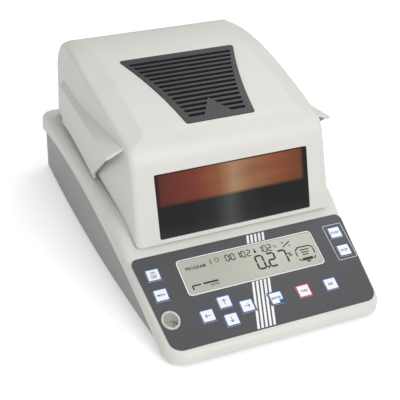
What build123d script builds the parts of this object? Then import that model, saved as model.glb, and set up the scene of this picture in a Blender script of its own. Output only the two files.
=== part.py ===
from build123d import *
import os
from math import atan2, cos, degrees, radians, sin

os.makedirs("parts", exist_ok=True)

# Frame: origin under the middle of the base at the standing surface, X right, Y back, Z up.
# All sizes are millimetres.

# Base outline in plan
body_depth = 336.0
half_width_rear = 95.0
half_width_widest = 99.5
half_width_front = 93.5
widest_y = -30.0
rear_corner = 12.0
front_corner = 17.0
rear_y = body_depth / 2
front_y = -body_depth / 2

# Base seen from the side
floor_gap = 4.5
rear_top_z = 60.0
rear_seam_z = 42.0
seam_crest = (62.0, 57.0)
seam_front_y = front_y + 19.0
lip_bottom_z = 3.6
shoulder = (front_y + 102.0, 59.8)
crest = (front_y + 128.0, 66.8)
case_wall = 2.6
floor_wall = 2.5
seam_step = 3.0
edge_round = 7.0

# Control panel, the sloped face at the front
panel_top = (front_y + 83.3, 47.6)
panel_bottom = (front_y + 5.3, 13.8)
panel_half_top = 96.0
panel_half_bottom = 89.8
overlay_thickness = 1.0
panel_rear_corner = 5.5
panel_front_corner = 10.0

# Keys: name, across the panel, up the panel
key_width = 12.0
key_height = 11.4
key_proud = 0.5
key_travel = 0.5
key_gap = 0.25
key_flange = 0.6
key_layout = {
    "key_on_off": (-82.0, 25.4),
    "key_menu": (-82.0, 6.8),
    "key_up": (-35.6, -12.0),
    "key_left": (-53.0, -20.0),
    "key_right": (-19.0, -20.0),
    "key_down": (-35.6, -28.0),
    "key_enter": (7.0, -19.8),
    "key_tare": (32.0, -19.8),
    "key_escape": (57.0, -19.8),
    "key_start": (83.3, 25.2),
    "key_stop": (83.3, 7.2),
}

# Display and level
display_width = 121.0
display_height = 31.5
display_centre = (0.6, 16.4)
level_place = (-82.4, -16.0)
level_radius = 7.4
level_depth = 12.0
vial_radius = 5.8
vial_height = 5.0

# Hood seen from the side
hood_front_foot = (front_y + 85.6, 55.4)
hood_front_slope = degrees(atan2(0.298, 0.954))
hood_face_length = 63.0
brow_end = (front_y + 128.0, 137.0)
roof_mid = (52.0, 154.2)
roof_rear = (100.0, 155.5)
rear_shoulder = (rear_y - 22.0, 128.0)
hood_rear_y = rear_y - 18.0
hood_wall = 2.8
hood_round = 5.0
hood_gap = 1.0

# Hood across: station y, half width at the foot, bevel corner, top corner over the roof
hood_stations = [
    (front_y + 76.0, 88.4, (86.0, 116.0), (40.0, 127.0)),
    (front_y + 128.0, 89.5, (86.3, 132.3), (42.0, 144.0)),
    (0.0, 90.0, (87.5, 140.3), (40.0, 152.0)),
    (80.0, 88.0, (86.0, 151.0), (50.0, 163.0)),
    (rear_y - 12.0, 82.0, (80.0, 124.0), (48.0, 160.0)),
]
# Wing: station y, ridge corner, skirt foot
wing_front = (front_y + 122.0, (100.9, 121.6), (97.6, 76.0))
wing_rear = (rear_y - 50.0, (88.5, 109.0), (87.0, 60.0))
wing_flare = 8.0
wing_wall = 2.4
tab_thickness = 2.4
wing_notch = (5.0, 78.0)
window_half = 68.2
window_foot = 3.2
window_height = 53.6
glass_thickness = 2.5
window_clearance = 0.25

# Vent grille in the roof
grille_rear = (52.0, 54.4)
grille_front = (-42.0, 30.4)
grille_waist = 3.0
grille_start_z = 100.0
grille_proud = 0.5
grille_flange = 2.5
grille_flange_thickness = 1.5
louvre_pitch = 5.9
louvre_slot = 3.2
louvre_count = 14

# Hinge
hinge_y = rear_y - 10.0
hinge_z = 71.0
hinge_x = 58.0
pin_radius = 2.5
pin_clearance = 0.05
arm_width = 8.0
ear_width = 3.0
ear_gap = 0.3
eye_radius = 6.0

# Weighing chamber
chamber_y = 4.0
bay_floor_z = 58.0
bay_half_width = 80.0
bay_front_y = front_y + 106.0
bay_rear_y = rear_y - 30.0
tray_width = 124.0
tray_depth = 118.0
tray_floor_z = 48.0
sheet = 0.8
shield_radius = 56.0
shield_wall = 1.5
shield_top_z = 63.0
ring_thickness = 1.5
pan_radius = 47.5
pan_rim_radius = 50.5
pan_bottom_z = 60.0
pan_height = 7.0
pan_sheet = 0.6
support_arm_z = 56.0
stem_radius = 4.0

# Heater in the hood
guard_z = 87.0
guard_glass_thickness = 2.0
frame_z = 92.0
frame_thickness = 2.5
lamp_z = 105.0
lamp_radius = 5.0
lamp_spacing = 44.0
lamp_length = 112.0
reflector_width = 128.0
reflector_depth = 112.0
reflector_top_z = 121.0

# Feet
foot_x = 74.0
rear_foot_y = rear_y - 36.0
front_foot_y = front_y + 50.0
foot_radius = 10.0
foot_travel = 4.0
stud_radius = 3.0
nut_radius = 11.0
nut_height = 3.5

# Inside the base
chassis_z = 10.0
chassis_thickness = 4.0
cell_width = 30.0
cell_length = 80.0
cell_height = 22.0
board_thickness = 1.6
boss_radius = 4.5
boss_foot_z = 14.0
screw_radius = 1.8
screw_clearance = 0.1
screw_rear_y = rear_y - 56.0
screw_front_y = bay_front_y - 10.0
screw_front_x = half_width_widest - 17.5
case_screw_places = [
    (-bay_half_width, screw_rear_y),
    (bay_half_width, screw_rear_y),
    (-screw_front_x, screw_front_y),
    (screw_front_x, screw_front_y),
]
case_screw_length = 24.0

# Rear sockets, placed across the rear wall as seen from behind
inlet_x = 36.0
inlet_z = 23.0
serial_x = -40.0
fit = 0.2

# Small sizes of the base pieces
upright = (Align.CENTER, Align.CENTER, Align.MIN)
screw_head_radius = 3.6
screw_head = 2.6
foot_boss_radius = 15.0
foot_pocket_top = floor_gap + 5.5
foot_boss_top = foot_pocket_top + 8.0
stud_top = foot_boss_top + 4.0
post_radius = 3.5
board_z = 11.0
chassis_width = 120.0
chassis_depth = 150.0
chassis_y = 10.0
chassis_posts = [(-50, -58), (50, -58), (-50, 78), (50, 78)]
main_board_x = 31.0
main_board_y = rear_y - 52.0
main_board_width = 52.0
main_board_depth = 44.0
board_posts = [(x, main_board_y + y) for x in (10, 52, -38, -6) for y in (-14, 14)]
main_board_chips = [(-12, -8, 14, 14, 2.0), (10, -8, 10, 18, 2.4), (-16, 15, 12, 8, 9.0), (4, 15, 8, 8, 6.0)]
supply_x = -22.0
supply_width = 44.0
supply_blocks = [(-8, -10, 22, 20, 18.0), (12, -12, 12, 12, 15.0), (0, 14, 26, 10, 12.0)]
rear_wall_plane = Plane(origin=(0, rear_y - seam_step, 0), x_dir=(-1, 0, 0), z_dir=(0, 1, 0))
inlet_width = 28.0
inlet_height = 28.0
inlet_margin = 4.0
inlet_lip = 1.5
inlet_depth = 22.0
socket_width = 24.0
socket_height = 14.0
socket_depth = 17.0
socket_pin = 10.0
socket_rise = 6.0
fuse_width = 22.0
fuse_height = 7.0
fuse_drop = 9.0
fuse_depth = 18.0
serial_width = 20.0
serial_height = 10.0
serial_flange = 1.0
seam_tongue = 3.0

# Stack of parts behind the control panel, measured down from its face
key_flange_thickness = 1.0
key_stem_radius = 2.5
key_stem = 1.4
mat_thickness = 1.0
dome_height = 0.8
key_to_dome = 0.1
board_face = (
    overlay_thickness + key_flange_thickness + key_stem + key_travel + key_to_dome + dome_height + mat_thickness
)
display_depth = board_face - overlay_thickness
board_half_u = 89.0
board_half_v = 34.0
mat_areas = [(-89, -66, -4, 34), (-62, 66, -34, -4), (66, 89, -4, 34)]

# Load cell and pan carrier
cell_y = 74.0
cell_foot = 34.0
cell_rise = 3.0
carrier_z = chassis_z + chassis_thickness + cell_rise + cell_height
carrier_radius = 6.5
carrier_height = 9.0
carrier_floor = 3.0
stem_foot_z = carrier_z + carrier_floor
support_reach = 36.0
handle_length = 12.0
tray_flange = 5.0
level_wall = 1.2

# Small sizes of the hood pieces
wing_root = 82.0
window_frame_thickness = 2.4
louvre_margin = 5.5
badge_corners = [(-13.0, -37.0), (13.0, -37.0), (0.0, -15.0)]
frame_front_y = -56.0
guard_width = 116.0
guard_depth = 100.0
guard_lip = 1.2
probe_radius = 1.5
probe_foot_z = 93.0
holder_width = 10.0
arm_drop = 4.0
arm_root = 14.0
arm_root_y = bay_rear_y - arm_root
bracket_seat_z = 60.0
bracket_base = (20.0, 16.0)
buffer_x = 86.2
buffer_radius = 2.6
buffer_seat = 2.0
frame_screw_radius = 1.2
frame_screw_places = [(x * (guard_width / 2 + 3.2), y * (guard_depth / 2 - 3.0)) for x in (-1, 1) for y in (-1, 1)]
fuse_radius = 2.5
fuse_length = 15.0
fuse_y = rear_y - 11.5
fuse_slack = 0.1
fuse_places = [-inlet_x - 5.5, -inlet_x + 5.5]

# Planes that several pieces share
slope = atan2(panel_top[1] - panel_bottom[1], panel_top[0] - panel_bottom[0])
panel_centre = (0, (panel_top[0] + panel_bottom[0]) / 2, (panel_top[1] + panel_bottom[1]) / 2)
panel_plane = Plane(origin=panel_centre, x_dir=(1, 0, 0), z_dir=(0, -sin(slope), cos(slope)))
panel_length = ((panel_top[0] - panel_bottom[0]) ** 2 + (panel_top[1] - panel_bottom[1]) ** 2) ** 0.5
face_angle = radians(hood_front_slope)
face_plane = Plane(
    origin=(0, hood_front_foot[0], hood_front_foot[1]),
    x_dir=(1, 0, 0),
    z_dir=(0, -cos(face_angle), sin(face_angle)),
)
face_head = (
    hood_front_foot[0] + hood_face_length * sin(face_angle),
    hood_front_foot[1] + hood_face_length * cos(face_angle),
)
face_low = (
    hood_front_foot[0] - 24 * sin(face_angle),
    hood_front_foot[1] - 24 * cos(face_angle),
)
reach = half_width_widest + 10
side_plane = Plane.YZ.offset(-reach)


def finish(part, name):
    part.label = name
    export_step(part, f"parts/{name}.step")


# Plan of the base, pulled in by an inset
def plan_outline(inset):
    with BuildSketch() as plan:
        with BuildLine():
            right = ThreePointArc(
                (half_width_rear, rear_y),
                (half_width_widest, widest_y),
                (half_width_front, front_y),
            )
            left = ThreePointArc(
                (-half_width_rear, rear_y),
                (-half_width_widest, widest_y),
                (-half_width_front, front_y),
            )
            Line(right @ 0, left @ 0)
            Line(right @ 1, left @ 1)
        make_face()
        fillet(plan.vertices().group_by(Axis.Y)[-1], rear_corner)
        fillet(plan.vertices().group_by(Axis.Y)[0], front_corner)
        if inset > 0:
            offset(amount=-inset, kind=Kind.INTERSECTION)
    return plan.sketch


# Side view of what lies under the deck, with the deck lowered by a drop
def under_deck(drop, bottom):
    run = (panel_top[1] - panel_bottom[1]) / (panel_top[0] - panel_bottom[0])
    nose_z = panel_bottom[1] + (front_y - 5 - panel_bottom[0]) * run
    with BuildSketch() as side:
        with BuildLine():
            panel = Line((front_y - 5, nose_z - drop), (panel_top[0], panel_top[1] - drop))
            rise = ThreePointArc(panel @ 1, (shoulder[0], shoulder[1] - drop), (crest[0], crest[1] - drop))
            deck = TangentArc(rise @ 1, (rear_y, rear_top_z - drop), tangent=rise % 1)
            Polyline(
                deck @ 1,
                (rear_y + 5, rear_top_z - drop),
                (rear_y + 5, bottom),
                (front_y - 5, bottom),
                panel @ 0,
            )
        make_face()
    return side.sketch


# Side view of everything under the seam between the two case shells
def under_seam(drop):
    with BuildSketch() as side:
        with BuildLine():
            seam = ThreePointArc(
                (rear_y + 2, rear_seam_z - drop),
                (seam_crest[0], seam_crest[1] - drop),
                (seam_front_y, lip_bottom_z - drop),
            )
            Polyline(
                seam @ 1,
                (front_y - 8, lip_bottom_z - drop),
                (front_y - 8, -20),
                (rear_y + 8, -20),
                (rear_y + 8, rear_seam_z - drop),
                seam @ 0,
            )
        make_face()
    return side.sketch


# Control panel outline on its own plane, grown by a margin
def panel_outline(margin):
    half = panel_length / 2
    with BuildSketch() as outline:
        with BuildLine():
            Polyline(
                (-panel_half_bottom, -half),
                (panel_half_bottom, -half),
                (panel_half_top, half),
                (-panel_half_top, half),
                close=True,
            )
        make_face()
        fillet(outline.vertices().group_by(Axis.Y)[-1], panel_rear_corner)
        fillet(outline.vertices().group_by(Axis.Y)[0], panel_front_corner)
        if margin > 0:
            offset(amount=margin)
    return outline.sketch


key_places = list(key_layout.values())
level_point = panel_plane.from_local_coords(Vector(level_place[0], level_place[1], 0))
level_foot_z = level_point.Z - level_depth
bay_middle_y = (bay_front_y + bay_rear_y) / 2
bay_length = bay_rear_y - bay_front_y
bay_corner = 14.0
boss_length = bay_floor_z - case_wall / 2 - boss_foot_z

# Space inside the upper case: below the deck, around the hood bay
with BuildPart() as case_void:
    with BuildSketch():
        add(plan_outline(case_wall))
    extrude(amount=90)
    with BuildSketch(side_plane):
        add(under_deck(case_wall / cos(slope), -30))
    extrude(amount=2 * reach, mode=Mode.INTERSECT)
    with BuildSketch(Plane.XY.offset(bay_floor_z - case_wall)):
        with Locations((0, bay_middle_y)):
            RectangleRounded(2 * bay_half_width + 2 * case_wall, bay_length + 2 * case_wall, bay_corner + case_wall)
    extrude(amount=40, mode=Mode.SUBTRACT)

# Screw bosses, which hang from the deck and the bay floor
with BuildPart() as screw_bosses:
    with BuildSketch(Plane.XY.offset(boss_foot_z)):
        with Locations(*case_screw_places):
            Circle(boss_radius)
    extrude(amount=boss_length)
    with BuildSketch(side_plane):
        add(under_deck(case_wall / 2, -30))
    extrude(amount=2 * reach, mode=Mode.INTERSECT)

with BuildPart() as upper_case:
    with BuildSketch():
        add(plan_outline(0))
    extrude(amount=90)
    with BuildSketch(side_plane):
        add(under_deck(0, -30))
    extrude(amount=2 * reach, mode=Mode.INTERSECT)
    deck_faces = upper_case.faces().filter_by(lambda f: f.normal_at().Z > 0.3)
    deck_joints = deck_faces.edges().filter_by(lambda e: abs(e.center().X) < 1 and abs(e.center().Y) < rear_y - 5)
    fillet(deck_faces.edges() - deck_joints, edge_round)
    with BuildSketch(side_plane):
        add(under_seam(0))
    extrude(amount=2 * reach, mode=Mode.SUBTRACT)
    add(case_void.part, mode=Mode.SUBTRACT)
    # Hood bay, with the tray opening in its floor
    with BuildSketch(Plane.XY.offset(bay_floor_z)):
        with Locations((0, bay_middle_y)):
            RectangleRounded(2 * bay_half_width, bay_length, bay_corner)
    extrude(amount=40, mode=Mode.SUBTRACT)
    with BuildSketch(Plane.XY.offset(bay_floor_z - 10)):
        with Locations((0, chamber_y)):
            RectangleRounded(tray_width + 2 * fit, tray_depth + 2 * fit, 12)
    extrude(amount=20, mode=Mode.SUBTRACT)
    add(screw_bosses.part)
    with BuildSketch(Plane.XY.offset(boss_foot_z)):
        with Locations(*case_screw_places):
            Circle(screw_radius + screw_clearance)
    extrude(amount=20, mode=Mode.SUBTRACT)
    # Seat of the control panel
    with BuildSketch(panel_plane.offset(-overlay_thickness)):
        add(panel_outline(fit))
    extrude(amount=10, mode=Mode.SUBTRACT)
    with BuildSketch(panel_plane.offset(2)):
        with Locations(*key_places):
            Rectangle(key_width + 2 * key_flange + 2 * key_gap, key_height + 2 * key_flange + 2 * key_gap)
        with Locations(display_centre):
            Rectangle(display_width + 3, display_height + 3)
    extrude(amount=-10, mode=Mode.SUBTRACT)
    with BuildSketch(Plane.XY):
        with Locations((level_point.X, level_point.Y)):
            Circle(level_radius)
    extrude(amount=80, mode=Mode.SUBTRACT)
    # Flat seats of the hinge brackets
    with BuildSketch(Plane.XY.offset(bracket_seat_z)):
        with Locations((-hinge_x, hinge_y), (hinge_x, hinge_y)):
            Rectangle(*bracket_base)
    extrude(amount=20, mode=Mode.SUBTRACT)
    with BuildSketch(Plane.XY.offset(bracket_seat_z - case_wall)):
        with Locations((-hinge_x, hinge_y), (hinge_x, hinge_y)):
            Rectangle(*bracket_base)
    extrude(amount=case_wall)
    # Sockets of the hood buffers
    with BuildSketch(Plane.XY.offset(crest[1] - buffer_seat)):
        with Locations((-buffer_x, crest[0]), (buffer_x, crest[0])):
            Circle(buffer_radius + 0.1)
    extrude(amount=10, mode=Mode.SUBTRACT)
finish(upper_case.part, "upper_case")

# Lower case: a tub that carries everything inside
with BuildPart() as lower_case:
    with BuildSketch(Plane.XY.offset(floor_gap)):
        add(plan_outline(seam_step))
    extrude(amount=60)
    with BuildSketch(side_plane):
        add(under_seam(-seam_tongue))
    extrude(amount=2 * reach, mode=Mode.INTERSECT)
    with BuildSketch(Plane.XY.offset(floor_gap + floor_wall)):
        add(plan_outline(seam_step + case_wall))
    extrude(amount=60, mode=Mode.SUBTRACT)
    # Bosses under the case screws and over the rear feet
    with BuildSketch(Plane.XY.offset(floor_gap)):
        with Locations(*case_screw_places):
            Circle(boss_radius)
    extrude(amount=boss_foot_z - floor_gap)
    with BuildSketch(Plane.XY.offset(floor_gap)):
        with Locations((-foot_x, rear_foot_y), (foot_x, rear_foot_y)):
            Circle(foot_boss_radius)
    extrude(amount=foot_boss_top - floor_gap)
    with Locations((-foot_x, rear_foot_y, floor_gap), (foot_x, rear_foot_y, floor_gap)):
        Cylinder(nut_radius + 1.0, foot_pocket_top - floor_gap, align=upright, mode=Mode.SUBTRACT)
        Cylinder(stud_radius + pin_clearance, 40, align=upright, mode=Mode.SUBTRACT)
    with Locations((-foot_x, front_foot_y, floor_gap), (foot_x, front_foot_y, floor_gap)):
        Cylinder(foot_radius + fit, 1.5, align=upright, mode=Mode.SUBTRACT)
    with Locations(*[(x, y, floor_gap) for x, y in case_screw_places]):
        Cylinder(screw_radius + screw_clearance, 20, align=upright, mode=Mode.SUBTRACT)
        Cylinder(screw_head_radius + fit, screw_head + fit, align=upright, mode=Mode.SUBTRACT)
    # Posts under the chassis plate and the main board
    with Locations(*[(x, y, floor_gap + floor_wall) for x, y in chassis_posts]):
        Cylinder(post_radius, chassis_z - floor_gap - floor_wall, align=upright)
    with Locations(*[(x, y, floor_gap + floor_wall) for x, y in board_posts]):
        Cylinder(post_radius, board_z - floor_gap - floor_wall, align=upright)
    # Rear openings for the mains inlet and the data socket
    with BuildSketch(rear_wall_plane):
        with Locations((inlet_x, inlet_z)):
            Rectangle(inlet_width + 2 * fit, inlet_height + 2 * fit)
        with Locations((serial_x, inlet_z)):
            Rectangle(serial_width + 2 * fit, serial_height + 2 * fit)
    extrude(amount=-20, mode=Mode.SUBTRACT)
finish(lower_case.part, "lower_case")

# Feet: two plain ones in front, two that screw down at the rear
with BuildPart() as front_feet:
    with Locations((-foot_x, front_foot_y), (foot_x, front_foot_y)):
        Cylinder(foot_radius, floor_gap + 1.5, align=upright)
    chamfer(front_feet.faces().sort_by(Axis.Z)[0].edges(), 0.8)
    chamfer(front_feet.faces().sort_by(Axis.Z)[1].edges(), 0.8)
finish(front_feet.part, "front_feet")

for side, place in (("left", -foot_x), ("right", foot_x)):
    with BuildPart() as rear_foot:
        with Locations((place, rear_foot_y)):
            Cylinder(foot_radius, floor_gap - 0.5, align=upright)
        chamfer(rear_foot.faces().sort_by(Axis.Z)[0].edges(), 0.8)
        with Locations((place, rear_foot_y)):
            Cylinder(stud_radius, stud_top, align=upright)
    finish(rear_foot.part, f"rear_foot_{side}")
    with BuildPart() as foot_nut:
        with Locations((place, rear_foot_y, foot_pocket_top - nut_height)):
            Cylinder(nut_radius, nut_height, align=upright)
            Cylinder(stud_radius + pin_clearance, nut_height, align=upright, mode=Mode.SUBTRACT)
            with PolarLocations(nut_radius + 0.4, 24):
                Cylinder(0.9, nut_height, align=upright, mode=Mode.SUBTRACT)
    finish(foot_nut.part, f"foot_nut_{side}")

# Control panel plate with holes for the keys, the display and the level
with BuildPart() as control_panel:
    with BuildSketch(panel_plane.offset(-overlay_thickness)):
        add(panel_outline(0))
        with Locations(*key_places):
            Rectangle(key_width + 2 * key_gap, key_height + 2 * key_gap, mode=Mode.SUBTRACT)
        with Locations(display_centre):
            RectangleRounded(display_width, display_height, 2.5, mode=Mode.SUBTRACT)
    extrude(amount=overlay_thickness)
    with Locations((level_point.X, level_point.Y, 0)):
        Cylinder(level_radius + fit, 80, align=upright, mode=Mode.SUBTRACT)
finish(control_panel.part, "control_panel")

with BuildPart() as display_window:
    with BuildSketch(panel_plane.offset(-overlay_thickness)):
        with Locations(display_centre):
            RectangleRounded(display_width - 2 * key_gap, display_height - 2 * key_gap, 2.2)
    extrude(amount=overlay_thickness - 0.15)
finish(display_window.part, "display_window")

with BuildPart() as display_module:
    with BuildSketch(panel_plane.offset(-overlay_thickness)):
        with Locations(display_centre):
            Rectangle(display_width + 2, display_height + 2)
    extrude(amount=-display_depth)
finish(display_module.part, "display_module")

for name, place in key_layout.items():
    with BuildPart() as key:
        with BuildSketch(panel_plane.offset(-overlay_thickness)):
            with Locations(place):
                RectangleRounded(key_width, key_height, 0.8)
        extrude(amount=overlay_thickness + key_proud)
        with BuildSketch(panel_plane.offset(-overlay_thickness)):
            with Locations(place):
                Rectangle(key_width + 2 * key_flange, key_height + 2 * key_flange)
        extrude(amount=-key_flange_thickness)
        with BuildSketch(panel_plane.offset(-overlay_thickness - key_flange_thickness)):
            with Locations(place):
                Circle(key_stem_radius)
        extrude(amount=-key_stem)
    finish(key.part, name)

with BuildPart() as keypad_mat:
    with BuildSketch(panel_plane.offset(-board_face)):
        for low_u, high_u, low_v, high_v in mat_areas:
            with Locations(((low_u + high_u) / 2, (low_v + high_v) / 2)):
                Rectangle(high_u - low_u, high_v - low_v)
    extrude(amount=mat_thickness)
    with BuildSketch(panel_plane.offset(-board_face + mat_thickness)):
        with Locations(*key_places):
            Circle(key_stem_radius + 1.5)
    extrude(amount=dome_height, taper=30)
finish(keypad_mat.part, "keypad_mat")

with BuildPart() as control_board:
    with BuildSketch(panel_plane.offset(-board_face)):
        Rectangle(2 * board_half_u, 2 * board_half_v)
    extrude(amount=-board_thickness)
    with Locations((level_point.X, level_point.Y, 0)):
        Cylinder(level_radius + 1.0, 80, align=upright, mode=Mode.SUBTRACT)
finish(control_board.part, "control_board")

# Spirit level: a plain metal cup cut off along the panel, with the vial in its floor
with BuildPart() as level_housing:
    with Locations((level_point.X, level_point.Y, level_foot_z)):
        Cylinder(level_radius, 40, align=upright)
        with Locations((0, 0, level_wall)):
            Cylinder(vial_radius + fit / 2, 40, align=upright, mode=Mode.SUBTRACT)
    split(bisect_by=panel_plane.offset(0.4), keep=Keep.BOTTOM)
finish(level_housing.part, "level_housing")

with BuildPart() as level_vial:
    with Locations((level_point.X, level_point.Y, level_foot_z + level_wall)):
        Cylinder(vial_radius, vial_height, align=upright)
    fillet(level_vial.faces().sort_by(Axis.Z)[-1].edges(), 1.2)
finish(level_vial.part, "level_vial")

# Weighing gear
with BuildPart() as chassis_plate:
    with BuildSketch(Plane.XY.offset(chassis_z)):
        with Locations((0, chassis_y)):
            RectangleRounded(chassis_width, chassis_depth, 6)
    extrude(amount=chassis_thickness)
finish(chassis_plate.part, "chassis_plate")

with BuildPart() as load_cell:
    with Locations((0, cell_y, chassis_z + chassis_thickness)):
        Box(cell_width, cell_foot, cell_rise, align=(Align.CENTER, Align.MAX, Align.MIN))
    with Locations((0, cell_y - cell_length / 2, chassis_z + chassis_thickness + cell_rise)):
        Box(cell_width, cell_length, cell_height, align=upright)
        with Locations((0, -12, cell_height / 2), (0, 12, cell_height / 2)):
            Cylinder(7, cell_width + 2, rotation=(0, 90, 0), mode=Mode.SUBTRACT)
        with Locations((0, 0, cell_height / 2)):
            Box(cell_width + 2, 24, 3, mode=Mode.SUBTRACT)
finish(load_cell.part, "load_cell")

with BuildPart() as pan_carrier:
    with Locations((0, chamber_y, carrier_z)):
        Cylinder(9, carrier_floor, align=upright)
        Cylinder(carrier_radius, carrier_height, align=upright)
        with Locations((0, 0, carrier_floor)):
            Cylinder(stem_radius + pin_clearance, carrier_height, align=upright, mode=Mode.SUBTRACT)
finish(pan_carrier.part, "pan_carrier")

# Boards in the base
with BuildPart() as main_board:
    with BuildSketch(Plane.XY.offset(board_z)):
        with Locations((main_board_x, main_board_y)):
            Rectangle(main_board_width, main_board_depth)
    extrude(amount=board_thickness)
    for dx, dy, wide, deep, tall in main_board_chips:
        with Locations((main_board_x + dx, main_board_y + dy, board_z + board_thickness)):
            Box(wide, deep, tall, align=upright)
finish(main_board.part, "main_board")

with BuildPart() as power_supply:
    with BuildSketch(Plane.XY.offset(board_z)):
        with Locations((supply_x, main_board_y)):
            Rectangle(supply_width, main_board_depth)
    extrude(amount=board_thickness)
    for dx, dy, wide, deep, tall in supply_blocks:
        with Locations((supply_x + dx, main_board_y + dy, board_z + board_thickness)):
            Box(wide, deep, tall, align=upright)
finish(power_supply.part, "power_supply")

# Rear sockets, set through the rear wall of the lower case
with BuildPart() as mains_inlet:
    with BuildSketch(rear_wall_plane.offset(inlet_lip)):
        with Locations((inlet_x, inlet_z)):
            Rectangle(inlet_width + 6, inlet_height + inlet_margin)
    extrude(amount=-inlet_lip)
    with BuildSketch(rear_wall_plane):
        with Locations((inlet_x, inlet_z)):
            Rectangle(inlet_width, inlet_height)
    extrude(amount=-inlet_depth)
    with BuildSketch(rear_wall_plane.offset(inlet_lip)):
        with Locations((inlet_x, inlet_z + socket_rise)):
            Rectangle(socket_width, socket_height)
    extrude(amount=-socket_depth, mode=Mode.SUBTRACT)
    with BuildSketch(rear_wall_plane.offset(inlet_lip)):
        with Locations((inlet_x, inlet_z - fuse_drop)):
            Rectangle(fuse_width + 2 * fit, fuse_height + 2 * fit)
    extrude(amount=-fuse_depth - fit, mode=Mode.SUBTRACT)
    with BuildSketch(rear_wall_plane.offset(inlet_lip - socket_depth)):
        with Locations((inlet_x, inlet_z + socket_rise + 2), (inlet_x - 7, inlet_z + socket_rise - 2)):
            Rectangle(2, 4)
        with Locations((inlet_x + 7, inlet_z + socket_rise - 2)):
            Rectangle(2, 4)
    extrude(amount=socket_pin)
finish(mains_inlet.part, "mains_inlet")

with BuildPart() as fuse_drawer:
    with BuildSketch(rear_wall_plane.offset(inlet_lip)):
        with Locations((inlet_x, inlet_z - fuse_drop)):
            Rectangle(fuse_width, fuse_height)
    extrude(amount=-fuse_depth)
    with BuildSketch(rear_wall_plane.offset(inlet_lip)):
        with Locations((inlet_x, inlet_z - fuse_drop)):
            Rectangle(fuse_width * 0.5, 1.4)
    extrude(amount=1.0)
    with Locations(*[(x, fuse_y - fuse_slack, inlet_z - fuse_drop) for x in fuse_places]):
        Cylinder(fuse_radius + fuse_slack, fuse_length + 4 * fuse_slack, rotation=(90, 0, 0), mode=Mode.SUBTRACT)
    with Locations(*[(x, fuse_y - fuse_length / 2, inlet_z - fuse_drop) for x in fuse_places]):
        Cylinder(fuse_radius + fuse_slack, fuse_length / 2, rotation=(90, 0, 0), mode=Mode.SUBTRACT)
finish(fuse_drawer.part, "fuse_drawer")

with BuildPart() as serial_port:
    with BuildSketch(rear_wall_plane):
        with Locations((serial_x, inlet_z)):
            RectangleRounded(serial_width + 10, serial_height + 1.5, 1)
    extrude(amount=serial_flange)
    with BuildSketch(rear_wall_plane):
        with Locations((serial_x, inlet_z)):
            Rectangle(serial_width, serial_height)
    extrude(amount=-8)
    with BuildSketch(rear_wall_plane.offset(serial_flange)):
        with Locations((serial_x, inlet_z)):
            RectangleRounded(serial_width, serial_height - 1, 2)
    extrude(amount=seam_step - serial_flange)
    with BuildSketch(rear_wall_plane.offset(seam_step)):
        with Locations((serial_x, inlet_z)):
            RectangleRounded(serial_width - 1.6, serial_height - 2.6, 1.5)
    extrude(amount=-seam_step, mode=Mode.SUBTRACT)
finish(serial_port.part, "serial_port")

# Weighing chamber: liner tray, draft shield, pan support, lifting ring and pan
with BuildPart() as chamber_tray:
    with BuildSketch(Plane.XY.offset(tray_floor_z)):
        with Locations((0, chamber_y)):
            RectangleRounded(tray_width, tray_depth, 12)
    extrude(amount=bay_floor_z + sheet - tray_floor_z)
    with BuildSketch(Plane.XY.offset(bay_floor_z)):
        with Locations((0, chamber_y)):
            RectangleRounded(tray_width + 2 * tray_flange, tray_depth + tray_flange, 12)
    extrude(amount=sheet)
    with BuildSketch(Plane.XY.offset(tray_floor_z + sheet)):
        with Locations((0, chamber_y)):
            RectangleRounded(tray_width - 2 * sheet, tray_depth - 2 * sheet, 11)
    extrude(amount=40, mode=Mode.SUBTRACT)
    with Locations((0, chamber_y, tray_floor_z - 1)):
        Cylinder(carrier_radius + 2, 10, align=upright, mode=Mode.SUBTRACT)
finish(chamber_tray.part, "chamber_tray")

with BuildPart() as draft_shield:
    with Locations((0, chamber_y, tray_floor_z + sheet)):
        Cylinder(shield_radius, shield_top_z - tray_floor_z - sheet, align=upright)
        with Locations((0, 0, shield_wall)):
            Cylinder(shield_radius - shield_wall, 40, align=upright, mode=Mode.SUBTRACT)
        Cylinder(carrier_radius + 2, 10, align=upright, mode=Mode.SUBTRACT)
finish(draft_shield.part, "draft_shield")

with BuildPart() as pan_support:
    with Locations((0, chamber_y, stem_foot_z)):
        Cylinder(stem_radius, support_arm_z - stem_foot_z, align=upright)
    with Locations((0, chamber_y, support_arm_z - 2)):
        Cylinder(8, 3.5, align=upright)
    with BuildSketch(Plane.XY.offset(support_arm_z)):
        with Locations((0, chamber_y)):
            with PolarLocations(support_reach / 2, 4, start_angle=45):
                SlotOverall(support_reach + 5, 5)
    extrude(amount=1.5)
    with Locations((0, chamber_y, support_arm_z)):
        with PolarLocations(support_reach, 4, start_angle=45):
            Cylinder(2.5, pan_bottom_z - support_arm_z, align=upright)
finish(pan_support.part, "pan_support")

with BuildPart() as pan_handler:
    with BuildSketch(Plane.XY.offset(shield_top_z)):
        with Locations((0, chamber_y)):
            Circle(shield_radius)
            Circle(pan_radius + 1.0, mode=Mode.SUBTRACT)
        with Locations((0, chamber_y - shield_radius - handle_length / 2 + 2)):
            RectangleRounded(22, handle_length, 3)
        with Locations((0, chamber_y)):
            Circle(pan_radius + 1.0, mode=Mode.SUBTRACT)
    extrude(amount=ring_thickness)
finish(pan_handler.part, "pan_handler")

with BuildPart() as sample_pan:
    with Locations((0, chamber_y, pan_bottom_z)):
        Cylinder(pan_radius, pan_height, align=upright)
    with Locations((0, chamber_y, pan_bottom_z + pan_height - pan_sheet)):
        Cylinder(pan_rim_radius, pan_sheet, align=upright)
    with Locations((0, chamber_y, pan_bottom_z + pan_sheet)):
        Cylinder(pan_radius - pan_sheet, pan_height, align=upright, mode=Mode.SUBTRACT)
finish(sample_pan.part, "sample_pan")


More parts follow.
